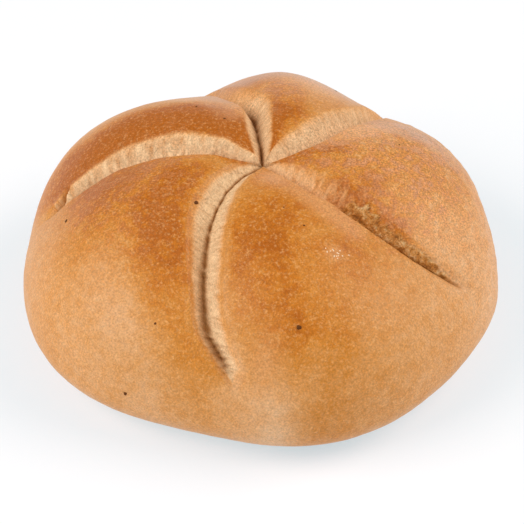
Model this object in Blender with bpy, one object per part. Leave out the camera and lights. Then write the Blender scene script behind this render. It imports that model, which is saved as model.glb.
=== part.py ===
"""Kaiser roll, one solid of baked bread.

A low dome on a flat base, its top pressed into five lobes by five curved grooves that meet in a
pinwheel near the middle. Metres, +Z up. The roll stands on z = 0 with the middle of its outline
over the origin and its front towards -Y. Run with: blender --background --python part.py
"""
import math

import bmesh
import bpy

MM = 0.001

# Driving dimensions, in millimetres. The belt is the widest line around the roll.
BELT_WIDTH = 105.0       # across the belt, along X, before the lobes swell it
BELT_DEPTH = 104.8       # front to back
BELT_HEIGHT = 11.8       # above the table
DOME_RISE = 33.7         # from the belt up to the crown, before the pinwheel is pressed in
EDGE_ROUND = 15.8        # how far the side curls in from the belt down to the flat base
PINWHEEL = (-1.5, 1.4)   # where the grooves meet
DOME_FULLNESS = 0.84     # 1 is a plain half ellipse, less is fuller near the crown

GROOVE_DEPTH = 3.0       # below the lobes' foot, along the length of a groove
GROOVE_DEPTH_MIDDLE = 2.0
GROOVE_HALF_WIDTH = 5.2
GROOVE_HALF_WIDTH_MIDDLE = 3.2
GROOVE_ROUNDING = 1.3    # 1 is a plain V, more rounds its lips
GROOVE_FADE = 0.15       # share of the way to the belt over which a groove runs out
GROOVE_PINCH = 0.7       # how much narrower a groove gets over twice that share
CURL_POWER = 1.5         # a groove starts out nearly straight and curls more towards the belt
LOBE_SAG = 2.2           # how far a lobe rolls down towards its two grooves
FOLD_FADE = 0.38         # share of the slope, above the belt, over which the lobes level out
PIT_DEPTH = 1.5          # the shallow bowl around the pinwheel
PIT_RADIUS = 14.0

# Bearings in degrees, counter-clockwise from +X: where a groove leaves the pinwheel, how far it has
# curled round when it reaches the belt, and the share of that way at which it runs out.
GROOVES = (
    {"start": -39.4, "curl": 15.0, "reach": 0.96},   # right
    {"start": 37.2, "curl": 14.6, "reach": 0.96},    # back right
    {"start": 91.5, "curl": 30.0, "reach": 0.96},    # back
    {"start": 152.0, "curl": 29.5, "reach": 0.92},   # left
    {"start": 224.5, "curl": 41.0, "reach": 0.95},   # front
)
# Each lobe lies counter-clockwise of the groove in the same place in the list. Swell pushes its
# outer side out and lift raises its back, both in millimetres. A lean over 1 moves its crest from
# midway between its grooves towards the counter-clockwise one.
LOBES = (
    {"swell": -5.6, "lift": 3.1, "lean": 1.03},   # right
    {"swell": 1.3, "lift": 2.0, "lean": 1.17},    # back
    {"swell": 2.5, "lift": 2.2, "lean": 1.25},    # back left
    {"swell": 3.5, "lift": 0.5, "lean": 1.02},    # front left
    {"swell": 1.6, "lift": 0.5, "lean": 1.11},    # front
)
# The slow unevenness of the outline: waves around it, their height and the bearing of a crest.
OUTLINE_WAVES = (
    {"count": 2, "height": 2.1, "bearing": 6.5},
    {"count": 3, "height": 0.35, "bearing": 43.5},
    {"count": 4, "height": 1.25, "bearing": 8.5},
)

# The mesh: columns follow the grooves, and rows run from the crown to the middle of the base. The
# columns of all five lobes come to a multiple of four, so that the ball has one on each axis.
COLUMNS_PER_LOBE = 20
COLUMN_CROWDING = 0.5    # how much closer columns stand beside a groove
DOME_ROWS = 34
EDGE_ROWS = 7
ROWS = DOME_ROWS + EDGE_ROWS + 1
COLUMNS = COLUMNS_PER_LOBE * len(GROOVES)


def clear_scene():
    for item in list(bpy.data.objects):
        bpy.data.objects.remove(item, do_unlink=True)


def ease(value):
    """0 below 0, 1 above 1, and a smooth step between."""
    value = min(max(value, 0.0), 1.0)
    return value * value * (3.0 - 2.0 * value)


def blend(low, high, share):
    return low + (high - low) * share


def groove_bearing(groove, out):
    """Bearing of a groove's bottom in degrees, with out 0 at the pinwheel and 1 at the belt."""
    return groove["start"] + groove["curl"] * out ** CURL_POWER


def lobe_bump(index, phase):
    """0 at a lobe's two grooves and 1 at its crest."""
    return math.sin(math.pi * phase ** LOBES[index]["lean"]) ** 2


def belt_radius(bearing):
    """From the pinwheel out to the belt, in millimetres, along a bearing in radians."""
    half_x, half_y = BELT_WIDTH / 2, BELT_DEPTH / 2
    x, y = PINWHEEL
    cos, sin = math.cos(bearing), math.sin(bearing)
    a = (cos / half_x) ** 2 + (sin / half_y) ** 2
    b = x * cos / half_x ** 2 + y * sin / half_y ** 2
    c = (x / half_x) ** 2 + (y / half_y) ** 2 - 1.0
    radius = (math.sqrt(b * b - a * c) - b) / a
    for wave in OUTLINE_WAVES:
        radius += wave["height"] * math.cos(wave["count"] * (bearing - math.radians(wave["bearing"])))
    return radius


def groove_cut(groove, out, distance):
    """How deep the surface lies below the lobe's foot at a distance from a groove's bottom."""
    half_width = blend(GROOVE_HALF_WIDTH_MIDDLE, GROOVE_HALF_WIDTH, ease(out / 0.5))
    pinch_length = 2 * GROOVE_FADE
    half_width *= 1.0 - GROOVE_PINCH * ease((out - groove["reach"] + pinch_length) / pinch_length)
    depth = blend(GROOVE_DEPTH_MIDDLE, GROOVE_DEPTH, ease(out / 0.35))
    depth *= 1.0 - ease((out - groove["reach"] + GROOVE_FADE) / GROOVE_FADE)
    return depth * (1.0 - min(distance / half_width, 1.0)) ** GROOVE_ROUNDING


def dome_relief(descent, out, phase, index, along, reach):
    """How far the lobes, grooves and bowl lift the surface off the plain dome."""
    before, after = GROOVES[index], GROOVES[(index + 1) % len(GROOVES)]
    nearer = before if phase < 0.5 else after
    fold = 1.0 - ease((descent - 1.0 + FOLD_FADE) / FOLD_FADE)
    lift = LOBES[index]["lift"] * lobe_bump(index, phase) * ease(descent / 0.5) * fold
    sag = LOBE_SAG * (2.0 * phase - 1.0) ** 2 * ease(descent / 0.35) * fold
    cut = groove_cut(nearer, out, along * min(phase, 1.0 - phase))
    return lift - sag - cut - PIT_DEPTH * math.exp(-(reach / PIT_RADIUS) ** 2)


def surface_point(column, row):
    """Where a column and a row of the mesh cross, in millimetres, with z up from the table."""
    if row == ROWS:
        return PINWHEEL[0], PINWHEEL[1], 0.0

    # descent runs from 0 at the crown to 1 at the belt, and phase from 0 to 1 across a lobe
    descent = min(row / DOME_ROWS, 1.0)
    tilt = descent * math.pi / 2
    out = math.sin(tilt) ** DOME_FULLNESS
    index, step = divmod(column, COLUMNS_PER_LOBE)
    share = step / COLUMNS_PER_LOBE
    phase = share - COLUMN_CROWDING * math.sin(math.tau * share) / math.tau
    start = groove_bearing(GROOVES[index], out)
    span = (groove_bearing(GROOVES[(index + 1) % len(GROOVES)], out) - start) % 360.0
    bearing = math.radians(start + span * phase)
    radius = belt_radius(bearing) + LOBES[index]["swell"] * lobe_bump(index, phase)

    if row > DOME_ROWS:
        turn = (row - DOME_ROWS) / EDGE_ROWS * math.pi / 2
        reach = radius - EDGE_ROUND * (1.0 - math.cos(turn))
        height = BELT_HEIGHT * (1.0 - math.sin(turn))
    else:
        reach = radius * out
        height = BELT_HEIGHT + DOME_RISE * math.cos(tilt)
        slope = CURL_POWER * out ** CURL_POWER * math.radians(GROOVES[index]["curl"])
        along = math.radians(span) * reach / math.hypot(1.0, slope)
        relief = dome_relief(descent, out, phase, index, along, reach)
        lean = math.atan2(math.sin(tilt) / radius, math.cos(tilt) / DOME_RISE)
        reach += relief * math.sin(lean)
        height += relief * math.cos(lean)
    return (PINWHEEL[0] + reach * math.cos(bearing),
            PINWHEEL[1] + reach * math.sin(bearing), height)


def make_roll_mesh():
    """Press a ball of dough into the roll: each point of a sphere moves to its place on it."""
    bm = bmesh.new()
    bmesh.ops.create_uvsphere(bm, u_segments=COLUMNS, v_segments=ROWS, radius=1.0)
    for vert in bm.verts:
        longitude = math.atan2(vert.co.y, vert.co.x) % math.tau
        colatitude = math.acos(min(max(vert.co.z, -1.0), 1.0))
        column = round(longitude / math.tau * COLUMNS) % COLUMNS
        row = round(colatitude / math.pi * ROWS)
        vert.co = [size * MM for size in surface_point(column, row)]
    middle = [(min(v.co[axis] for v in bm.verts) + max(v.co[axis] for v in bm.verts)) / 2
              for axis in (0, 1)]
    bmesh.ops.translate(bm, verts=bm.verts, vec=(-middle[0], -middle[1], 0.0))
    bmesh.ops.recalc_face_normals(bm, faces=bm.faces)
    bmesh.ops.triangulate(bm, faces=bm.faces, quad_method="SHORT_EDGE")  # keeps the lobes smooth
    mesh = bpy.data.meshes.new("bread_roll")
    bm.to_mesh(mesh)
    bm.free()
    mesh.shade_smooth()
    return mesh


def baked_crust():
    """Golden brown wheat crust, dull with a faint sheen."""
    material = bpy.data.materials.new("baked_crust")
    material.use_nodes = True
    shader = material.node_tree.nodes["Principled BSDF"]
    shader.inputs["Base Color"].default_value = (0.60, 0.225, 0.055, 1.0)
    shader.inputs["Roughness"].default_value = 0.55
    shader.inputs["Metallic"].default_value = 0.0
    return material


def main():
    clear_scene()
    mesh = make_roll_mesh()
    mesh.materials.append(baked_crust())
    roll = bpy.data.objects.new("bread_roll", mesh)
    bpy.context.scene.collection.objects.link(roll)


main()
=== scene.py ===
import math
import random

import bpy
import numpy as np
from mathutils import Matrix, Vector, noise
from mathutils.bvhtree import BVHTree


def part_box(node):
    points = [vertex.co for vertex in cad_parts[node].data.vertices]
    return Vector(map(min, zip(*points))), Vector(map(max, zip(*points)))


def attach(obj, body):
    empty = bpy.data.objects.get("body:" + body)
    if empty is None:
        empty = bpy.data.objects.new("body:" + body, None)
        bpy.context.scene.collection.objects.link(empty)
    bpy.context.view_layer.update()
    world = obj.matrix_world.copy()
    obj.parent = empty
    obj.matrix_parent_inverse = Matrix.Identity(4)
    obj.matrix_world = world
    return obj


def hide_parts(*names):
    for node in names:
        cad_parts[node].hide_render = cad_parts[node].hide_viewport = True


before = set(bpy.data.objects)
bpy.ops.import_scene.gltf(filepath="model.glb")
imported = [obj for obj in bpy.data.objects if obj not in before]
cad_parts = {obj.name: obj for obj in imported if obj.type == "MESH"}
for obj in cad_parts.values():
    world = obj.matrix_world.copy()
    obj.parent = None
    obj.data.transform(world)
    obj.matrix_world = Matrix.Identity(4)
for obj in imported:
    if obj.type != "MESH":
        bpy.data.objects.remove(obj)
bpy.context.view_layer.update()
rollLow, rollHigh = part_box("bread_roll")
mm = 0.001
print("frame loaded")


def ease(value):         # 0 below 0, 1 above 1, smooth between
    value = np.clip(value, 0.0, 1.0)
    return value * value * (3.0 - 2.0 * value)


def band(value, foot, low, high, end):   # 1 from low to high, fading to 0 at foot and at end
    return ease((value - foot) / (low - foot)) * (1.0 - ease((value - high) / (end - high)))


def cloud(points, grain, seed=0.0, stretch=(1.0, 1.0, 1.0)):   # from about -1 to 1, in lumps of grain mm
    scale = Vector([1.0 / (grain * s) for s in stretch])
    shift = Vector((seed, 1.7 * seed, -seed))
    return np.array([noise.noise(Vector(point) * scale + shift) for point in points.tolist()])


def deselectAll():
    if bpy.context.object and bpy.context.object.mode != "OBJECT":
        bpy.ops.object.mode_set(mode="OBJECT")
    bpy.ops.object.select_all(action="DESELECT")


# A ball of dough pressed into a kaiser roll. Lengths are in millimetres, bearings in degrees
# counter-clockwise from the right. "Out" is the share of the way from the pinwheel to the belt,
# which is the widest line round the roll.
rollForm = {
    "segments": 440,         # round the roll, the same number for each lobe
    "rings": 220,            # from the crown to the middle of the base
    "domeRings": 172,
    "edgeRings": 34,
    "crowding": 0.62,        # how much closer the segments stand beside a groove
    "beltWidth": 105.0,
    "beltDepth": 104.8,
    "beltHeight": 11.8,
    "domeRise": 33.7,
    "edgeRound": 15.8,
    "fullness": 0.84,        # 1 is a plain half ellipse, less is fuller near the crown
    "pinwheel": (-1.5, 1.4),
    "sag": 2.2,              # how far a lobe rolls down towards its grooves
    "foldFade": 0.38,
    "pit": 2.8,              # the bowl round the pinwheel
    "pitRadius": 10.0,
    "waves": ((2, 2.0, -6.5), (3, 0.9, 42.5), (4, 1.2, 10.5)),   # count, height, bearing of a crest
    "lumps": ((15.0, 0.28), (5.0, 0.07), (1.9, 0.035)),   # size and height of the crust's unevenness
    "dimples": (0, 2.4, 0.22),   # the right lobe's crust is more dimpled: lobe, size, depth
}
# Each row of six numbers goes in equal steps from the pinwheel out to the belt. Left and right are
# seen looking out from the pinwheel.
grooves = (
    {   # right
        "bearing": (-38.0, -43.5, -37.0, -35.0, -31.0, -23.5),
        "rightWall": (1.2, 1.8, 2.0, 2.0, 1.8, 1.2),
        "leftWall": (1.8, 4.2, 4.6, 3.4, 2.6, 1.8),
        "depth": (2.0, 3.0, 3.1, 2.5, 1.4, 0.6),
        "slit": (0.3, 0.3, 0.3, 0.5, 0.4, 0.3),
        "rightStrands": 0.0,
        "leftStrands": 0.15,
        "rightSoft": 1.2,
        "leftSoft": 1.0,
        "rightFlour": (0.7, 0.45, 0.35, 0.25, 0.1, 0.0),
        "leftFlour": (0.65, 0.48, 0.28, 0.1, 0.15, 0.1),
        "reach": 0.98,
    },
    {   # back right
        "bearing": (27.0, 27.0, 37.0, 41.0, 46.5, 49.0),
        "rightWall": (1.2, 1.8, 2.2, 2.2, 2.0, 1.5),
        "leftWall": (1.5, 4.2, 4.4, 4.0, 3.5, 2.0),
        "depth": (2.0, 3.0, 3.4, 3.2, 3.2, 3.0),
        "slit": (0.3, 0.4, 0.4, 0.6, 1.2, 1.2),
        "rightStrands": 0.0,
        "leftStrands": 0.1,
        "rightSoft": 1.2,
        "leftSoft": 1.15,
        "rightFlour": (0.6, 0.3, 0.2, 0.2, 0.2, 0.2),
        "leftFlour": (0.9, 0.95, 0.9, 0.85, 0.6, 0.2),
        "reach": 0.96,
    },
    {   # back
        "bearing": (94.5, 95.0, 97.0, 105.0, 110.0, 118.0),
        "rightWall": (1.5, 2.8, 3.8, 4.5, 4.0, 3.0),
        "leftWall": (1.6, 3.0, 2.6, 2.2, 2.0, 1.5),
        "depth": (2.2, 3.1, 3.5, 3.2, 2.8, 2.0),
        "slit": (0.4, 0.5, 0.7, 0.6, 0.6, 0.5),
        "rightStrands": 0.1,
        "leftStrands": 0.05,
        "rightSoft": 1.1,
        "leftSoft": 0.9,
        "rightFlour": (0.8, 0.95, 0.85, 0.5, 0.2, 0.1),
        "leftFlour": (0.8, 0.9, 0.9, 0.8, 0.6, 0.3),
        "reach": 0.96,
    },
    {   # left
        "bearing": (163.0, 168.5, 170.3, 172.6, 178.0, 178.0),
        "rightWall": (1.3, 3.3, 4.6, 4.0, 2.9, 1.8),
        "leftWall": (1.2, 1.8, 2.0, 2.0, 1.8, 1.4),
        "depth": (1.6, 2.8, 3.2, 3.0, 2.6, 1.8),
        "slit": (0.3, 0.4, 0.4, 0.5, 0.9, 1.1),
        "rightStrands": 0.38,
        "leftStrands": 0.0,
        "rightSoft": 1.4,
        "leftSoft": 1.0,
        "rightFlour": (0.9, 1.0, 1.0, 0.95, 0.85, 0.1),
        "leftFlour": (0.5, 0.2, 0.1, 0.1, 0.1, 0.1),
        "reach": 0.94,
    },
    {   # front
        "bearing": (216.0, 226.0, 235.5, 243.5, 251.0, 265.0),
        "rightWall": (2.0, 3.9, 4.9, 3.6, 2.2, 1.0),
        "leftWall": (1.6, 3.4, 5.0, 5.8, 5.0, 2.2),
        "depth": (1.6, 2.2, 2.6, 3.0, 2.7, 1.6),
        "slit": (0.3, 0.3, 0.4, 0.9, 0.9, 0.6),
        "rightStrands": 0.08,
        "leftStrands": 0.1,
        "rightSoft": 0.6,
        "leftSoft": 0.68,
        "rightFlour": (0.9, 1.0, 0.95, 0.85, 0.75, 0.6),
        "leftFlour": (0.9, 1.0, 1.0, 1.0, 1.0, 1.0),
        "reach": 0.98,
    },
)
# Each lobe lies counter-clockwise of the groove in the same place in the list. A lean over 1 moves
# its crest from midway towards the next groove.
lobes = (
    {"swell": -4.5, "lift": 2.1, "lean": 1.04},   # right
    {"swell": 1.2, "lift": 2.0, "lean": 1.33},    # back
    {"swell": 2.0, "lift": 1.3, "lean": 1.28},    # back left
    {"swell": 5.0, "lift": 0.5, "lean": 1.03},    # front left
    {"swell": 0.5, "lift": 0.5, "lean": 1.09},    # front
)


def pick(rows, key, index):   # one number from each vertex's own groove or lobe
    return np.array([row[key] for row in rows], float)[index]


def follow(key, index, out):   # a smooth line through a groove's six numbers
    table = np.array([groove[key] for groove in grooves], float)
    last = table.shape[1] - 1
    place = np.clip(out, 0.0, 1.0) * last
    step = np.minimum(place.astype(int), last - 1)
    share = place - step
    before = table[index, np.maximum(step - 1, 0)]
    here = table[index, step]
    there = table[index, step + 1]
    after = table[index, np.minimum(step + 2, last)]
    bend = 2.0 * before - 5.0 * here + 4.0 * there - after
    twist = 3.0 * (here - there) + after - before
    return here + 0.5 * share * (there - before + share * (bend + share * twist))


def beltRadius(bearing):   # from the pinwheel out to the belt's ellipse and its slow waves
    form = rollForm
    x, y = form["pinwheel"]
    halfX, halfY = form["beltWidth"] / 2, form["beltDepth"] / 2
    a = (np.cos(bearing) / halfX) ** 2 + (np.sin(bearing) / halfY) ** 2
    b = x * np.cos(bearing) / halfX ** 2 + y * np.sin(bearing) / halfY ** 2
    c = (x / halfX) ** 2 + (y / halfY) ** 2 - 1.0
    radius = (np.sqrt(b * b - a * c) - b) / a
    for count, height, crest in form["waves"]:
        radius = radius + height * np.cos(count * (bearing - math.radians(crest)))
    return radius


def placeOnRoll(column, row):   # the roll without its cuts, and where each vertex lies on it
    form = rollForm
    lobe, step = np.divmod(column, form["segments"] // len(lobes))
    share = step / (form["segments"] // len(lobes))
    phase = share - form["crowding"] * np.sin(2 * math.pi * share) / (2 * math.pi)
    nextGroove = (lobe + 1) % len(grooves)
    descent = np.minimum(row / form["domeRings"], 1.0)
    tilt = descent * math.pi / 2
    out = np.sin(tilt) ** form["fullness"]

    start = follow("bearing", lobe, out)
    span = (follow("bearing", nextGroove, out) - start) % 360.0
    bearing = np.radians(start + span * phase)
    bump = np.sin(math.pi * phase ** pick(lobes, "lean", lobe)) ** 2
    radius = beltRadius(bearing) + pick(lobes, "swell", lobe) * bump

    # the dome above the belt, the curled-in edge below it, then the flat base
    above = row <= form["domeRings"]
    turn = np.clip((row - form["domeRings"]) / form["edgeRings"], 0.0, 1.0) * math.pi / 2
    baseRings = form["rings"] - form["domeRings"] - form["edgeRings"]
    inwards = np.clip((row - form["domeRings"] - form["edgeRings"]) / baseRings, 0.0, 1.0)
    edge = radius - form["edgeRound"] * (1.0 - np.cos(turn))
    reach = np.where(above, radius * out, edge * (1.0 - inwards))
    height = np.where(above, form["beltHeight"] + form["domeRise"] * np.cos(tilt),
                      form["beltHeight"] * (1.0 - np.sin(turn)))
    lean = np.arctan2(np.sin(tilt) / radius, np.cos(tilt) / form["domeRise"])

    # the distance across to the nearer groove, which is less where the groove runs slanting
    nearer = np.where(phase < 0.5, lobe, nextGroove)
    small = 0.01
    turning = (follow("bearing", nearer, out + small) - follow("bearing", nearer, out - small)) / (2 * small)
    width = np.radians(span) * reach / np.hypot(1.0, np.radians(turning) * out)
    across = width * np.where(phase < 0.5, phase, phase - 1.0)

    fold = 1.0 - ease((descent - 1.0 + form["foldFade"]) / form["foldFade"])
    lift = pick(lobes, "lift", lobe) * bump * ease(descent / 0.5) * fold
    sag = form["sag"] * (2.0 * phase - 1.0) ** 2 * ease(descent / 0.35) * fold
    relief = lift - sag - form["pit"] * np.exp(-(reach / form["pitRadius"]) ** 2)
    middleRow = np.linspace(0.0, math.pi / 2, form["domeRings"] + 1)
    arc = np.hypot(np.diff(52.0 * np.sin(middleRow) ** form["fullness"]),
                   np.diff(form["domeRise"] * np.cos(middleRow)))
    along = np.interp(row, np.arange(form["domeRings"] + 1), np.concatenate([[0.0], np.cumsum(arc)]))
    return {
        "lobe": lobe, "phase": phase, "descent": descent, "out": out, "bearing": bearing,
        "radius": radius, "reach": reach, "height": height, "lean": lean, "above": above,
        "groove": nearer, "across": across, "along": along, "relief": np.where(above, relief, 0.0),
    }


def toPoints(place, relief):
    x, y = rollForm["pinwheel"]
    reach = place["reach"] + relief * np.sin(place["lean"])
    height = place["height"] + relief * np.cos(place["lean"])
    return np.stack([x + reach * np.cos(place["bearing"]), y + reach * np.sin(place["bearing"]), height], 1)


# How the dough tore and rolled open along the grooves, in millimetres.
crease = {
    "rounding": 1.35,        # how the walls round over into the crust
    "bottom": 0.30,          # how the groove is rounded at its foot
    "fade": 0.06,            # share of the way out over which a groove ends
    "wander": 0.40,          # how far the slit strays to either side
    "lip": 0.11,             # how far the crust curls up beside a wall
    "slitDepth": 0.55,
    "slitStainAndShade": 0.30,       # how far past the slit the walls turn crust brown, partly painted shade in the crease
    "hook": ((0.78, 0.83, 0.87, 0.90, 0.94), (0.0, 0.5, 1.0, 0.7, 0.4)),   # the front groove's tip: out, sideways
    "fibre": 1.5,            # width of the strands of crumb pulled across the walls
}
tear = {                     # the right groove's left wall, where the crust broke into crumbs
    "groove": 0,
    "from": 0.42,            # shares of the way out
    "to": 0.94,
    "width": 2.5,
    "depth": 0.28,
    "crumb": 1.1,
}
wrinkles = {                 # small folds across the end of the front groove
    "groove": 4,
    "from": 0.87,
    "to": 0.935,
    "spacing": 1.3,
    "height": 0.32,
}


def toLine(points, line):   # how far each point is from a line of corners, seen from above
    nearest = np.full(len(points), np.inf)
    for start, end in zip(line[:-1], line[1:]):
        start, end = np.array(start, float), np.array(end, float)
        span = end - start
        share = np.clip(((points[:, :2] - start) @ span) / (span @ span), 0.0, 1.0)
        nearest = np.minimum(nearest, np.hypot(*(points[:, :2] - start - share[:, None] * span).T))
    return nearest


slot = {                     # the gap under the upper lip where the left groove ends
    "groove": 3,
    "from": (0.835, -3.2),   # out, and across in millimetres
    "to": (0.895, -0.9),
    "width": 0.8,
    "depth": 1.7,
}


def toSlot(place, groove, signed):   # how far each vertex is from the slot, in millimetres
    outs, alongs = place["out"][place["above"]], place["along"][place["above"]]
    order = np.argsort(outs)
    start = np.array([np.interp(slot["from"][0], outs[order], alongs[order]), slot["from"][1]])
    end = np.array([np.interp(slot["to"][0], outs[order], alongs[order]), slot["to"][1]])
    distance = toLine(np.stack([place["along"], signed], 1), (start, end))
    return np.where((groove == slot["groove"]) & place["above"], distance, 99.0)


def cutGrooves(place):   # how deep the grooves cut at each vertex; fills in what the crust needs to know
    out, groove = place["out"], place["groove"]
    track = np.stack([place["along"], groove * 40.0, np.zeros_like(out)], 1)
    close = 1.0 - ease((np.abs(place["across"]) - 4.0) / 4.0)
    stray = crease["wander"] * (cloud(track, 7.0) + 0.4 * cloud(track, 2.4, 5.0)) * close * ease(out / 0.15)
    hooked = np.interp(out, *crease["hook"]) * (groove == len(grooves) - 1)
    signed = place["across"] + stray + hooked
    across = np.abs(signed)
    left = signed > 0.0
    width = np.where(left, follow("leftWall", groove, out), follow("rightWall", groove, out))
    reach = pick(grooves, "reach", groove)
    ending = (1.0 - ease((out - reach + crease["fade"]) / crease["fade"])) * place["above"]
    depth = follow("depth", groove, out) * ending
    rim = across / width
    foot = crease["bottom"]
    steep = (np.sqrt(rim ** 2 + foot ** 2) - foot) / (math.sqrt(1.0 + foot ** 2) - foot)
    cut = depth * (1.0 - np.clip(steep, 0.0, 1.0)) ** crease["rounding"]

    beads = 0.8 + 0.5 * cloud(track, 1.5, 9.0)
    slitWidth = follow("slit", groove, out)
    slitEnding = ending * (1.0 - ease((out - 0.90) / 0.05))
    slit = (1.0 - np.clip(across / slitWidth, 0.0, 1.0)) ** 2 * beads * slitEnding * ease(out / 0.08)
    cut = cut + crease["slitDepth"] * slit

    fibreTrack = np.stack([place["along"], groove * 40.0 + signed / 3.0, np.zeros_like(out)], 1)
    fibres = cloud(fibreTrack, crease["fibre"], 2.0) + 0.6 * cloud(fibreTrack, crease["fibre"] / 2, 3.0)
    onWall = band(rim, 0.05, 0.3, 0.7, 1.2)
    fibres = np.tanh(2.0 * fibres)
    pulled = np.where(left, pick(grooves, "leftStrands", groove), pick(grooves, "rightStrands", groove))
    place["strand"] = pulled * fibres * onWall * ending * ease(out / 0.15)
    cut = cut + place["strand"]
    cut = cut - crease["lip"] * band(rim, 0.8, 1.0, 1.1, 1.6) * ending * ease(out / 0.2) * (width > 2.1)

    lumpy = np.stack([place["along"], signed, groove * 40.0], 1)
    crumbs = cloud(lumpy, tear["crumb"], 4.0) + 0.6 * cloud(lumpy, tear["crumb"] / 2.2, 6.0)
    taper = 1.2 - 0.8 * np.clip((out - tear["from"]) / (tear["to"] - tear["from"]), 0.0, 1.0)
    ragged = tear["width"] * taper * (1.0 + 0.7 * cloud(track, 4.0, 12.0) + 0.6 * cloud(track, 1.3, 15.0))
    span = band(out, tear["from"] - 0.06, tear["from"] + 0.04, tear["to"] - 0.1, tear["to"])
    torn = (groove == tear["groove"]) * left * span * (1.0 - ease((across - ragged * span) / 0.5))
    cut = cut + torn * tear["depth"] * (0.7 + 0.9 * crumbs)

    onEnd = (groove == wrinkles["groove"]) * band(out, wrinkles["from"] - 0.02, wrinkles["from"], wrinkles["to"], wrinkles["to"] + 0.015)
    ripple = np.sin(2 * math.pi * (place["along"] + 0.5 * signed) / wrinkles["spacing"])
    cut = cut + wrinkles["height"] * ripple * onEnd * (1.0 - ease((across - 0.8) / 1.2))

    gap = 1.0 - ease(toSlot(place, groove, signed) / slot["width"])
    cut = cut + slot["depth"] * gap

    place["rim"] = rim + 1.0 * (1.0 - ending)
    place["beyond"] = across - width + 4.0 * (1.0 - ending)
    # partly the crust's own brown, partly painted shade: darker at the slit, in beads along it, and in the slot
    stainedAndShaded = (1.0 - np.clip(across / (slitWidth + crease["slitStainAndShade"]), 0.0, 1.0)) * slitEnding * beads
    place["slit"] = np.maximum(np.clip(1.4 * stainedAndShaded, 0.0, 1.0), gap)
    place["torn"] = torn
    place["signed"] = signed
    place["rightOpen"] = np.clip(follow("rightFlour", groove, out), 0.0, 1.0)
    place["leftOpen"] = np.clip(follow("leftFlour", groove, out), 0.0, 1.0)
    place["left"] = left
    place["ending"] = ending
    return cut


def shapeDough(column, row):
    place = placeOnRoll(column, row)
    plain = toPoints(place, place["relief"])
    relief = place["relief"] - cutGrooves(place)
    for grain, height in rollForm["lumps"]:
        relief = relief + height * cloud(plain, grain, grain) * ease(plain[:, 2] / 6.0)
    lobe, grain, depth = rollForm["dimples"]
    dimpled = (place["lobe"] == lobe) * ease(np.abs(place["across"]) / 5.0 - 0.4) * ease(plain[:, 2] / 20.0)
    relief = relief - depth * dimpled * cloud(plain, grain, 31.0)
    middle = (plain[:, :2].min(0) + plain[:, :2].max(0)) / 2
    place["points"] = toPoints(place, relief) - np.append(middle, 0.0)
    return place


def makeRoll():
    segments, rings = rollForm["segments"], rollForm["rings"]
    deselectAll()
    bpy.ops.mesh.primitive_uv_sphere_add(segments=segments, ring_count=rings, radius=1.0)
    roll = bpy.context.object
    roll.name = "breadRoll"
    mesh = roll.data
    ball = np.empty(len(mesh.vertices) * 3)
    mesh.vertices.foreach_get("co", ball)
    ball = ball.reshape(-1, 3)
    longitude = np.arctan2(ball[:, 1], ball[:, 0]) % (2 * math.pi)
    column = np.rint(longitude / (2 * math.pi) * segments).astype(int) % segments
    row = np.rint(np.arccos(np.clip(ball[:, 2], -1.0, 1.0)) / math.pi * rings)
    place = shapeDough(column, row)
    under = (rollLow + rollHigh) / 2         # stands over the middle of the CAD solid's box
    points = place["points"] * mm + np.array([under.x, under.y, rollLow.z])
    mesh.vertices.foreach_set("co", points.ravel())
    mesh.update()
    bpy.ops.object.shade_smooth()
    return roll, place


def storeValues(mesh, name, values):
    layer = mesh.attributes.new(name, "FLOAT", "POINT")
    layer.data.foreach_set("value", np.asarray(values, np.float32))


def storeVectors(mesh, name, vectors):
    layer = mesh.attributes.new(name, "FLOAT_VECTOR", "POINT")
    layer.data.foreach_set("vector", np.asarray(vectors, np.float32).ravel())


# How far the crust is baked: 0 is pale dough, 1 is deep brown, and one paler patch is a painted
# highlight. Places are in millimetres, seen from above.
bakingAndHighlight = {
    "top": 0.74,
    "side": 0.46,
    "lip": -0.14,            # how much paler the crust stays beside the walls
    "strokes": (             # half width, how far it fades, extra, the line it follows
        (3.5, 6.0, 0.38, ((-46, 12), (-40, 14), (-30, 16), (-20, 17), (-12, 16), (-6, 11), (-4, 7))),
        (0.3, 2.4, 0.36, ((1.2, 7), (3.2, 13), (4.6, 19))),
        (2.0, 5.5, 0.32, ((5.5, 19), (6.5, 27))),
        (1.0, 4.0, 0.22, ((5, 4), (9, 4.5), (16, 5))),
        (1.0, 3.0, 0.20, ((17, -7.5), (24, -12), (30, -15))),
        (3.5, 9.0, 0.09, ((8, 1), (14, 0), (20, -3))),
        (3.0, 9.0, 0.08, ((2, -8), (3, -14), (2, -20))),
        (2.5, 8.0, 0.14, ((1, -18), (0, -30), (4, -42))),
        (3.0, 7.0, 0.26, ((-15, -6), (-20, -12), (-22, -22), (-18, -34), (-14, -42))),
    ),
    "patches": (             # x, y, radius, extra
        (-34.0, -14.0, 14.0, 0.10),
        (-10.0, -8.0, 9.0, -0.12),
        (22.0, -24.0, 12.0, 0.06),
        (10.0, -44.0, 14.0, 0.18),
        (-2.0, -54.0, 9.0, -0.12),
        (-20.0, -50.0, 10.0, -0.10),
        (-37.0, -2.0, 11.0, 0.22),
        (6.0, 46.0, 10.0, 0.10),
        # painted highlight: the broad soft highlight on the front-left lobe, as paler crust
        (-32.0, -32.0, 10.0, -0.16),
        (46.0, -14.0, 12.0, -0.14),
        (26.0, 18.0, 9.0, -0.10),
        (40.0, 2.0, 13.0, 0.20),
        (12.0, 30.0, 10.0, -0.26),
        (-2.0, 40.0, 8.0, 0.34),
        (-40.0, 4.0, 10.0, 0.24),
        (-24.0, 8.0, 8.0, 0.10),
        (-17.0, 29.0, 7.0, -0.30),
        (-48.0, 0.0, 9.0, -0.12),
        (3.5, -53.5, 5.0, -0.45),
    ),
}
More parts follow.
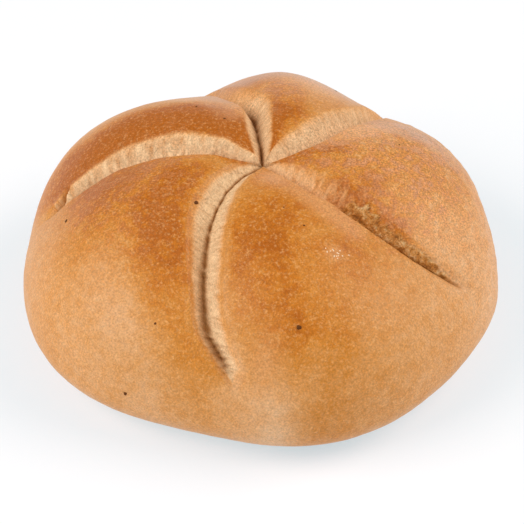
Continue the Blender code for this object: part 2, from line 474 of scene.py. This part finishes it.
dustAndSheenMarks = {                  # where the crust is paler and pinker: a breath of flour in places, and painted sheen on the lips and slopes that face back and up
    "strokes": (
        (0.5, 4.5, 0.34, ((4, -5), (12, -12), (20, -18))),
        (2.0, 5.0, 0.30, ((-17, 31), (-11, 26), (-6, 19))),
        (1.0, 4.0, 0.30, ((14, 8), (24, 14), (33, 21))),
        (1.0, 7.0, 0.45, ((-4, 41), (8, 43), (20, 39))),
    ),
    "patches": (
        (15.9, -25.7, 2.0, 0.30),
        (24.0, 12.0, 7.0, 0.10),
        (13.0, 37.0, 9.0, 0.55),
        (1.0, -45.5, 3.5, 0.28),
        (1.0, -4.0, 4.0, 0.35),
        (9.0, 29.0, 8.0, 0.15),
        (46.0, -10.0, 13.0, 0.16),
    ),
}
paintedSheenMarks = {                 # painted sheen: greyish pink, on the slopes that face back and up
    "strokes": (
        (1.0, 6.5, 0.5, ((-8, 37), (8, 39), (20, 35))),
        (1.0, 5.0, 0.35, ((24, 22), (36, 16))),
        (1.0, 5.0, 0.3, ((34, 22), (43, 12))),
        (1.0, 5.0, 0.35, ((-18, 33), (-8, 27))),
    ),
    "patches": (),
}
blotching = {                # where the crust baked rough and uneven
    "strokes": (
        (6.0, 8.0, 0.6, ((16, 6), (34, 14))),
        (3.0, 7.0, 0.4, ((0, 22), (10, 32))),
    ),
    "patches": (
        (36.0, -2.0, 16.0, 0.9),
        (-20.0, 4.0, 11.0, 0.45),
        (-34.0, -10.0, 14.0, 0.30),
    ),
}


def brush(points, marks):   # the strokes and patches of one kind of mark, from browning and flour dust to painted sheen and a painted highlight
    total = np.zeros(len(points))
    for half, soft, extra, line in marks["strokes"]:
        total = total + extra * (1.0 - ease((toLine(points, line) - half) / soft)) * ease(points[:, 2] / 20.0)
    for x, y, radius, extra in marks["patches"]:
        away = np.hypot(points[:, 0] - x, points[:, 1] - y) / radius
        total = total + extra * np.exp(-away ** 2)
    return total


def bakeCrustAndHighlight(place):
    points = place["points"]
    low = ease((place["out"] - 0.5) / 0.5)
    toastAndHighlight = bakingAndHighlight["top"] + (bakingAndHighlight["side"] - bakingAndHighlight["top"]) * low + brush(points, bakingAndHighlight)
    opened = np.where(place["left"], place["leftOpen"], place["rightOpen"])
    toastAndHighlight = toastAndHighlight + bakingAndHighlight["lip"] * opened * (1.0 - ease((place["beyond"] + 0.5) / 2.2))
    return toastAndHighlight + 0.05 * cloud(points, 6.0, 21.0) + 0.07 * cloud(points, 14.0, 22.0)


def flourWalls(place):   # how floury each vertex is: 1 on the walls, fading over their lips
    groove, out, rim = place["groove"], place["out"], place["rim"]
    strength = np.where(place["left"], place["leftOpen"], place["rightOpen"])
    soft = np.where(place["left"], pick(grooves, "leftSoft", groove), pick(grooves, "rightSoft", groove))
    return strength * (1.0 - ease((rim - 0.35) / soft))


def linear(hexColor):   # sRGB hex to the linear colour Blender wants
    parts = [int(hexColor[i:i + 2], 16) / 255 for i in (1, 3, 5)]
    return tuple(c / 12.92 if c <= 0.04045 else ((c + 0.055) / 1.055) ** 2.4 for c in parts) + (1.0,)


def addNode(tree, kind, settings={}, links={}):
    node = tree.nodes.new(kind)
    for name, value in settings.items():
        setattr(node, name, value)
    for socket, value in links.items():
        if isinstance(value, bpy.types.NodeSocket):
            tree.links.new(value, node.inputs[socket])
        else:
            node.inputs[socket].default_value = value
    return node


# Golden wheat crust, thin and dry: a satin skin full of tiny pores and paler blisters. Where the
# lobes pulled apart the walls stay cream, dull and fibrous.
crustLook = {
    "browning": (            # from hardly baked to deep brown
        (0.0, "#E2B78B"), (0.25, "#DCA570"), (0.5, "#D3924F"), (0.7, "#CB8231"),
        (0.85, "#C2721B"), (1.0, "#AE5C0A"),
    ),
    "walls": (               # from the crust over the lip and down to the slit
        (0.0, "#DA984E"), (0.3, "#E5AB70"), (0.6, "#E2B382"), (1.0, "#E7C193"),
    ),
    # torn crumbs: darkest in their holes, which is painted shade, and pale on top
    "torn": ((0.0, "#9A5E1E"), (0.3, "#BE7A32"), (0.6, "#D2944E"), (1.0, "#E6BA80")),
    # pale pink: flour dust, and painted sheen where it stands for a soft reflection
    "dustAndSheen": "#E8AE7E",
    # painted sheen, greyish pink
    "paintedSheen": "#C89C80",
    "blister": "#F2BC7C",
    # crust brown at the slit and in the slot, partly painted shade
    "slit": "#A0621E",
    "patchSize": 9.0,        # millimetres
    "mottleSize": 2.4,
    "grainSize": 0.42,
    "speckSize": 0.8,
    "poreSize": 1.1,
    "fibreSize": 0.9,
    "crumbSize": 1.7,
    "strandShade": -0.25,    # painted shade: the hollows between the strands are coloured darker
    "strandShadeTint": -0.9,      # and painted further towards golden brown, as shade too
    "blotchContrast": 3.6,   # how much stronger the mottling is where the crust is rough
    "blotchGrain": 1.0,
    "gloss": 0.25,
    "crustRoughness": 0.4,
    "flourRoughness": 0.9,
}


def bakedWheatCrust():
    look = crustLook
    material = bpy.data.materials.new("bakedWheatCrust")
    material.use_nodes = True
    tree = material.node_tree
    shader = tree.nodes["Principled BSDF"]
    where = addNode(tree, "ShaderNodeTexCoord").outputs["Object"]
    # the browning, with one painted highlight among its patches
    toasted = addNode(tree, "ShaderNodeAttribute", {"attribute_name": "toastAndHighlight"}).outputs["Fac"]
    floured = addNode(tree, "ShaderNodeAttribute", {"attribute_name": "flour"}).outputs["Fac"]
    dustAndSheenAmount = addNode(tree, "ShaderNodeAttribute", {"attribute_name": "dustAndSheen"}).outputs["Fac"]
    slit = addNode(tree, "ShaderNodeAttribute", {"attribute_name": "slit"}).outputs["Fac"]
    torn = addNode(tree, "ShaderNodeAttribute", {"attribute_name": "torn"}).outputs["Fac"]
    paintedSheenAmount = addNode(tree, "ShaderNodeAttribute", {"attribute_name": "paintedSheen"}).outputs["Fac"]
    strand = addNode(tree, "ShaderNodeAttribute", {"attribute_name": "strand"}).outputs["Fac"]
    blotched = addNode(tree, "ShaderNodeAttribute", {"attribute_name": "blotch"}).outputs["Fac"]
    grooveMap = addNode(tree, "ShaderNodeAttribute", {"attribute_name": "grooveMap"}).outputs["Vector"]
    patches = addNode(tree, "ShaderNodeTexNoise", {}, {
        "Vector": where, "Scale": 1.0 / (look["patchSize"] * mm), "Detail": 2.0}).outputs["Fac"]
    mottle = addNode(tree, "ShaderNodeTexNoise", {}, {
        "Vector": where, "Scale": 1.0 / (look["mottleSize"] * mm), "Detail": 3.0,
        "Roughness": 0.6}).outputs["Fac"]
    grain = addNode(tree, "ShaderNodeTexNoise", {}, {
        "Vector": where, "Scale": 1.0 / (look["grainSize"] * mm), "Detail": 2.0,
        "Roughness": 0.6}).outputs["Fac"]
    specks = addNode(tree, "ShaderNodeTexNoise", {}, {
        "Vector": where, "Scale": 1.0 / (look["speckSize"] * mm), "Detail": 3.0,
        "Roughness": 0.7}).outputs["Fac"]
    fibres = addNode(tree, "ShaderNodeTexNoise", {}, {
        "Vector": grooveMap, "Scale": 1.0 / look["fibreSize"], "Detail": 4.0, "Roughness": 0.65,
        "Distortion": 0.8}).outputs["Fac"]
    crumbs = addNode(tree, "ShaderNodeTexNoise", {}, {
        "Vector": where, "Scale": 1.0 / (look["crumbSize"] * mm), "Detail": 4.0,
        "Roughness": 0.7}).outputs["Fac"]
    pores = addNode(tree, "ShaderNodeTexVoronoi", {"feature": "F1"}, {
        "Vector": where, "Scale": 1.0 / (look["poreSize"] * mm)})

    # the crust: browning with cloudy patches, a little mottling, and paler blisters
    cloudy = addNode(tree, "ShaderNodeMapRange", {}, {
        "Value": patches, "From Min": 0.3, "From Max": 0.7, "To Min": -0.05, "To Max": 0.05}).outputs["Result"]
    mottled = addNode(tree, "ShaderNodeMapRange", {}, {
        "Value": mottle, "From Min": 0.3, "From Max": 0.7, "To Min": -0.10, "To Max": 0.10}).outputs["Result"]
    uneven = addNode(tree, "ShaderNodeMath", {"operation": "MULTIPLY_ADD"}, {
        0: blotched, 1: look["blotchContrast"], 2: 1.0}).outputs[0]
    toastAndHighlight = addNode(tree, "ShaderNodeMath", {"operation": "ADD"}, {0: toasted, 1: cloudy}).outputs[0]
    toastAndHighlight = addNode(tree, "ShaderNodeMath", {"operation": "MULTIPLY_ADD"}, {
        0: mottled, 1: uneven, 2: toastAndHighlight}).outputs[0]
    ramp = addNode(tree, "ShaderNodeValToRGB", {}, {"Fac": toastAndHighlight})
    stops = ramp.color_ramp.elements
    stops.remove(stops[1])
    stops[0].color = linear(look["browning"][0][1])
    for position, color in look["browning"][1:]:
        stops.new(position).color = linear(color)
    speck = addNode(tree, "ShaderNodeMapRange", {"interpolation_type": "SMOOTHSTEP"}, {
        "Value": specks, "From Min": 0.49, "From Max": 0.73, "To Max": 0.38}).outputs["Result"]
    dot = addNode(tree, "ShaderNodeMapRange", {"interpolation_type": "SMOOTHSTEP"}, {
        "Value": pores.outputs["Distance"], "From Min": 0.05, "From Max": 0.42,
        "To Min": 1.0, "To Max": 0.0}).outputs["Result"]
    chance = addNode(tree, "ShaderNodeSeparateColor", {}, {"Color": pores.outputs["Color"]}).outputs["Red"]
    strong = addNode(tree, "ShaderNodeMath", {"operation": "POWER"}, {0: chance, 1: 1.6}).outputs[0]
    blister = addNode(tree, "ShaderNodeMath", {"operation": "MULTIPLY"}, {0: dot, 1: strong}).outputs[0]
    paler = addNode(tree, "ShaderNodeMath", {"operation": "MULTIPLY"}, {0: blister, 1: 0.4}).outputs[0]
    paler = addNode(tree, "ShaderNodeMath", {"operation": "MAXIMUM"}, {0: paler, 1: speck}).outputs[0]
    crust = addNode(tree, "ShaderNodeMix", {"data_type": "RGBA"}, {
        0: paler, 6: ramp.outputs["Color"], 7: linear(look["blister"])}).outputs[2]
    blotches = addNode(tree, "ShaderNodeMapRange", {"interpolation_type": "SMOOTHSTEP"}, {
        "Value": mottle, "From Min": 0.38, "From Max": 0.68, "To Max": 0.52}).outputs["Result"]
    # flour dust and painted sheen, also in mottled spots where the crust is rough
    dustAndSheenMix = addNode(tree, "ShaderNodeMath", {"operation": "MULTIPLY_ADD"}, {
        0: blotched, 1: blotches, 2: dustAndSheenAmount}).outputs[0]
    crust = addNode(tree, "ShaderNodeMix", {"data_type": "RGBA"}, {
        0: dustAndSheenMix, 6: crust, 7: linear(look["dustAndSheen"])}).outputs[2]
    # more painted sheen, greyish pink, on the slopes that face back and up
    crust = addNode(tree, "ShaderNodeMix", {"data_type": "RGBA"}, {
        0: paintedSheenAmount, 6: crust, 7: linear(look["paintedSheen"])}).outputs[2]

    # the walls: fibres pulled across them make their edge and their colour uneven
    streaked = addNode(tree, "ShaderNodeMapRange", {}, {
        "Value": fibres, "From Min": 0.3, "From Max": 0.7, "To Min": -0.3, "To Max": 0.3}).outputs["Result"]
    wallness = addNode(tree, "ShaderNodeMath", {"operation": "MULTIPLY_ADD"}, {
        0: streaked, 1: floured, 2: floured}).outputs[0]
    # painted shade: the hollows between the strands move towards golden brown
    wallness = addNode(tree, "ShaderNodeMath", {"operation": "MULTIPLY_ADD"}, {
        0: strand, 1: look["strandShadeTint"], 2: wallness}).outputs[0]
    wallRamp = addNode(tree, "ShaderNodeValToRGB", {}, {"Fac": wallness})
    stops = wallRamp.color_ramp.elements
    stops.remove(stops[1])
    stops[0].color = linear(look["walls"][0][1])
    for position, color in look["walls"][1:]:
        stops.new(position).color = linear(color)
    floury = addNode(tree, "ShaderNodeMapRange", {"interpolation_type": "SMOOTHSTEP"}, {
        "Value": wallness, "From Min": 0.05, "From Max": 0.55}).outputs["Result"]
    walls = addNode(tree, "ShaderNodeMix", {"data_type": "RGBA"}, {
        0: floury, 6: crust, 7: wallRamp.outputs["Color"]}).outputs[2]

    # torn crumbs in their own browns, with painted shade darkening their holes
    crumbAndShadeRamp = addNode(tree, "ShaderNodeValToRGB", {}, {"Fac": addNode(tree, "ShaderNodeMapRange", {}, {
        "Value": crumbs, "From Min": 0.36, "From Max": 0.66}).outputs["Result"]})
    stops = crumbAndShadeRamp.color_ramp.elements
    stops.remove(stops[1])
    stops[0].color = linear(look["torn"][0][1])
    for position, color in look["torn"][1:]:
        stops.new(position).color = linear(color)
    raggedTear = addNode(tree, "ShaderNodeMath", {"operation": "MULTIPLY_ADD"}, {
        0: torn, 1: 2.2, 2: addNode(tree, "ShaderNodeMath", {"operation": "MULTIPLY"}, {
            0: crumbs, 1: -1.4}).outputs[0]})
    raggedTear.use_clamp = True
    color = addNode(tree, "ShaderNodeMix", {"data_type": "RGBA"}, {
        0: raggedTear.outputs[0], 6: walls, 7: crumbAndShadeRamp.outputs["Color"]}).outputs[2]
    # the slit and the slot: crust brown, partly painted shade
    color = addNode(tree, "ShaderNodeMix", {"data_type": "RGBA"}, {
        0: addNode(tree, "ShaderNodeMath", {"operation": "MULTIPLY"}, {0: slit, 1: 0.85}).outputs[0],
        6: color, 7: linear(look["slit"])}).outputs[2]
    speckleAndShade = addNode(tree, "ShaderNodeMapRange", {}, {
        "Value": grain, "From Min": 0.25, "From Max": 0.75, "To Min": -0.25, "To Max": 0.25}).outputs["Result"]
    rougher = addNode(tree, "ShaderNodeMath", {"operation": "MULTIPLY_ADD"}, {
        0: blotched, 1: look["blotchGrain"], 2: 1.0}).outputs[0]
    speckleAndShade = addNode(tree, "ShaderNodeMath", {"operation": "MULTIPLY_ADD"}, {
        0: speckleAndShade, 1: rougher, 2: 1.0}).outputs[0]
    strands = addNode(tree, "ShaderNodeMapRange", {}, {
        "Value": fibres, "From Min": 0.3, "From Max": 0.7, "To Min": -0.14, "To Max": 0.14}).outputs["Result"]
    speckleAndShade = addNode(tree, "ShaderNodeMath", {"operation": "MULTIPLY_ADD"}, {
        0: strands, 1: floury, 2: speckleAndShade}).outputs[0]
    # painted shade: darker in the hollows between the strands
    speckleAndShade = addNode(tree, "ShaderNodeMath", {"operation": "MULTIPLY_ADD"}, {
        0: strand, 1: look["strandShade"], 2: speckleAndShade}).outputs[0]
    color = addNode(tree, "ShaderNodeVectorMath", {"operation": "SCALE"}, {
        0: color, "Scale": speckleAndShade}).outputs["Vector"]
    tree.links.new(color, shader.inputs["Base Color"])
    rough = addNode(tree, "ShaderNodeMapRange", {}, {
        "Value": floury, "To Min": look["crustRoughness"], "To Max": look["flourRoughness"]}).outputs["Result"]
    tree.links.new(rough, shader.inputs["Roughness"])
    shader.inputs["Specular IOR Level"].default_value = look["gloss"]

    blisterBump = addNode(tree, "ShaderNodeBump", {}, {
        "Strength": 0.5, "Distance": 0.12 * mm, "Height": blister}).outputs["Normal"]
    speckBump = addNode(tree, "ShaderNodeBump", {}, {
        "Strength": 0.6, "Distance": 0.22 * mm, "Height": specks, "Normal": blisterBump}).outputs["Normal"]
    grainBump = addNode(tree, "ShaderNodeBump", {}, {
        "Strength": 0.5, "Distance": 0.12 * mm, "Height": grain, "Normal": speckBump}).outputs["Normal"]
    fibreHeight = addNode(tree, "ShaderNodeMath", {"operation": "MULTIPLY"}, {0: fibres, 1: floured}).outputs[0]
    fibreBump = addNode(tree, "ShaderNodeBump", {}, {
        "Strength": 0.8, "Distance": 0.5 * mm, "Height": fibreHeight, "Normal": grainBump}).outputs["Normal"]
    crumbHeight = addNode(tree, "ShaderNodeMath", {"operation": "MULTIPLY"}, {0: crumbs, 1: torn}).outputs[0]
    crumbBump = addNode(tree, "ShaderNodeBump", {}, {
        "Strength": 1.0, "Distance": 1.0 * mm, "Height": crumbHeight, "Normal": fibreBump}).outputs["Normal"]
    tree.links.new(crumbBump, shader.inputs["Normal"])
    return material


roll, place = makeRoll()
# browning, with one painted highlight
storeValues(roll.data, "toastAndHighlight", bakeCrustAndHighlight(place))
storeValues(roll.data, "flour", flourWalls(place))
# flour dust and painted sheen
storeValues(roll.data, "dustAndSheen", np.clip(brush(place["points"], dustAndSheenMarks), 0.0, 1.0))
storeValues(roll.data, "blotch", np.clip(brush(place["points"], blotching), 0.0, 1.0))
# painted sheen
storeValues(roll.data, "paintedSheen", np.clip(brush(place["points"], paintedSheenMarks), 0.0, 1.0))
storeValues(roll.data, "strand", place["strand"])
storeValues(roll.data, "slit", place["slit"])
storeValues(roll.data, "torn", place["torn"])
storeVectors(roll.data, "grooveMap", np.stack([place["along"], place["signed"] / 2.2, place["groove"] * 40.0], 1))
roll.data.materials.append(bakedWheatCrust())
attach(roll, "root")
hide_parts("bread_roll")
print("roll modelled", len(roll.data.vertices))

# Flakes of bran that came through on the crust, and grains of flour left on it: x, y, z and
# length in millimetres. They lie half sunk in the skin.
flecks = {
    "bran": (
        (8.1, -41.5, 33.6, 1.2), (-13.9, -12.0, 42.9, 1.1), (-44.0, -6.0, 32.8, 1.0),
        (-29.6, -43.1, 14.6, 1.0), (-22.7, -36.6, 30.0, 0.6), (-8.2, 14.7, 44.1, 0.7),
        (-14.6, 20.3, 42.9, 0.6), (5.0, -15.2, 44.1, 0.5), (9.4, -19.8, 43.1, 0.5),
        (31.0, 9.0, 41.0, 0.5), (-24.0, 34.0, 36.0, 0.9), (18.0, 36.0, 36.0, 0.8),
        (50.0, 10.0, 20.0, 0.6), (-2.0, 50.0, 18.0, 0.6),
    ),
    "flour": (15.9, -25.7, 41.0, 2.2, 16),   # x, y, z, spread and how many
    "flourGrain": 0.36,
    "flatness": 0.45,
    "branColor": ("#4A2A12", "#7A4820"),
    "flourColor": ("#EBCDA4", "#F6E6CC"),
    "seed": 11,
}


def lay(flake, skin, place, length):   # a copy of the flake on the crust, turned at random
    spot, normal, _, _ = skin.find_nearest(Vector(place) * mm)
    copy = bpy.data.objects.new(flake.name, flake.data.copy())
    bpy.context.collection.objects.link(copy)
    turn = normal.to_track_quat("Z", "Y").to_matrix().to_4x4()
    spin = Matrix.Rotation(random.uniform(0, 2 * math.pi), 4, "Z")
    wide = length * mm * random.uniform(0.55, 0.9)
    size = Matrix.Diagonal((length * mm, wide, wide * flecks["flatness"], 1.0))
    copy.data.transform(Matrix.Translation(spot) @ turn @ spin @ size)
    return copy


def makeFlecks(name, places, material, skin):
    deselectAll()
    bpy.ops.mesh.primitive_ico_sphere_add(subdivisions=2, radius=0.5)
    flake = bpy.context.object
    flake.name = name
    for vert in flake.data.vertices:      # chipped, not round
        vert.co *= 1.0 + 0.35 * noise.noise(vert.co * 3.0)
    copies = [lay(flake, skin, place[:3], place[3]) for place in places]
    bpy.data.objects.remove(flake, do_unlink=True)
    deselectAll()
    for copy in copies:
        copy.select_set(True)
    bpy.context.view_layer.objects.active = copies[0]
    bpy.ops.object.join()
    piece = bpy.context.object
    piece.name = name
    bpy.ops.object.shade_smooth()
    piece.data.materials.append(material)
    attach(piece, "root")
    return piece


def flakeMaterial(name, colors, roughness):
    material = bpy.data.materials.new(name)
    material.use_nodes = True
    tree = material.node_tree
    shader = tree.nodes["Principled BSDF"]
    where = addNode(tree, "ShaderNodeTexCoord").outputs["Object"]
    uneven = addNode(tree, "ShaderNodeTexNoise", {}, {
        "Vector": where, "Scale": 1.0 / (0.4 * mm), "Detail": 2.0}).outputs["Fac"]
    color = addNode(tree, "ShaderNodeMix", {"data_type": "RGBA"}, {
        0: uneven, 6: linear(colors[0]), 7: linear(colors[1])}).outputs[2]
    tree.links.new(color, shader.inputs["Base Color"])
    shader.inputs["Roughness"].default_value = roughness
    shader.inputs["Specular IOR Level"].default_value = 0.1
    return material


random.seed(flecks["seed"])
skin = BVHTree.FromObject(roll, bpy.context.evaluated_depsgraph_get())
# toasted bran: dark, dry and a little glossy
bran = makeFlecks("branFlecks", flecks["bran"], flakeMaterial("toastedBran", flecks["branColor"], 0.55), skin)
x, y, z, spread, count = flecks["flour"]
grains = []
for _ in range(count):
    grains.append((random.gauss(x, spread / 2), random.gauss(y, spread / 2), z, flecks["flourGrain"]))
# caked flour: pale and dull
makeFlecks("flourGrains", grains, flakeMaterial("cakedFlour", flecks["flourColor"], 0.9), skin)
print("flecks laid")

studio = {
    "floorSize": 4.0,
    "floor": "#CCB1A7",      # warm under a cool glow, which together are white
    "glow": "#A0C2CD",       # a light table, so that the shadow stays faint and grey
    "farGlow": "#FFFFFF",
    "glowReach": (0.15, 0.45),   # metres over which the glow turns from one to the other
    "room": 0.35,            # strength of the white walls and ceiling
    "lamps": (               # name, place, size in metres, watts
        ("softLeft", (-0.85, -0.25, 0.75), 0.8, 9.3),
        ("softRight", (0.85, 0.05, 0.75), 0.8, 8.0),
    ),
    "aim": (0.3, -3.15, 16.85),   # millimetres
    "distance": 600.0,
    "elevation": 42.964,
    "lens": 181.45,
}


def makeStudio():
    deselectAll()
    bpy.ops.mesh.primitive_plane_add(size=studio["floorSize"], location=(0, 0, rollLow.z))
    floor = bpy.context.object
    floor.name = "floor"
    material = bpy.data.materials.new("glowingLightTable")
    material.use_nodes = True
    shader = material.node_tree.nodes["Principled BSDF"]
    shader.inputs["Base Color"].default_value = linear(studio["floor"])
    shader.inputs["Roughness"].default_value = 0.9
    shader.inputs["Specular IOR Level"].default_value = 0.0
    # painted light: the floor glows, cool near the roll so that its shadow stays faint and grey, and white
    # further out
    shader.inputs["Emission Strength"].default_value = 1.0
    tree = material.node_tree
    where = addNode(tree, "ShaderNodeTexCoord").outputs["Object"]
    away = addNode(tree, "ShaderNodeVectorMath", {"operation": "LENGTH"}, {0: where}).outputs["Value"]
    far = addNode(tree, "ShaderNodeMapRange", {"interpolation_type": "SMOOTHSTEP"}, {
        "Value": away, "From Min": studio["glowReach"][0], "From Max": studio["glowReach"][1]}).outputs["Result"]
    glow = addNode(tree, "ShaderNodeMix", {"data_type": "RGBA"}, {
        0: far, 6: linear(studio["glow"]), 7: linear(studio["farGlow"])}).outputs[2]
    tree.links.new(glow, shader.inputs["Emission Color"])
    floor.data.materials.append(material)

    world = bpy.data.worlds.new("softWhiteRoom")
    bpy.context.scene.world = world
    world.use_nodes = True
    sky = world.node_tree.nodes["Background"]
    sky.inputs["Color"].default_value = (1.0, 1.0, 1.0, 1.0)
    sky.inputs["Strength"].default_value = studio["room"]

    for name, lampPlace, size, power in studio["lamps"]:
        bpy.ops.object.light_add(type="AREA", location=lampPlace)
        lamp = bpy.context.object
        lamp.name = name
        lamp.data.size = size
        lamp.data.energy = power
        toRoll = Vector((0, 0, 0.02)) - Vector(lampPlace)
        lamp.rotation_euler = toRoll.to_track_quat("-Z", "Y").to_euler()

    lift = math.radians(studio["elevation"])
    aim = Vector(studio["aim"]) * mm
    offset = Vector((0, -math.cos(lift), math.sin(lift))) * studio["distance"] * mm
    bpy.ops.object.camera_add(location=aim + offset, rotation=(math.pi / 2 - lift, 0, 0))
    camera = bpy.context.object
    camera.data.lens = studio["lens"]
    camera.data.sensor_width = 36.0
    bpy.context.scene.camera = camera
    bpy.context.scene.view_settings.view_transform = "Standard"


makeStudio()
print("studio ready")
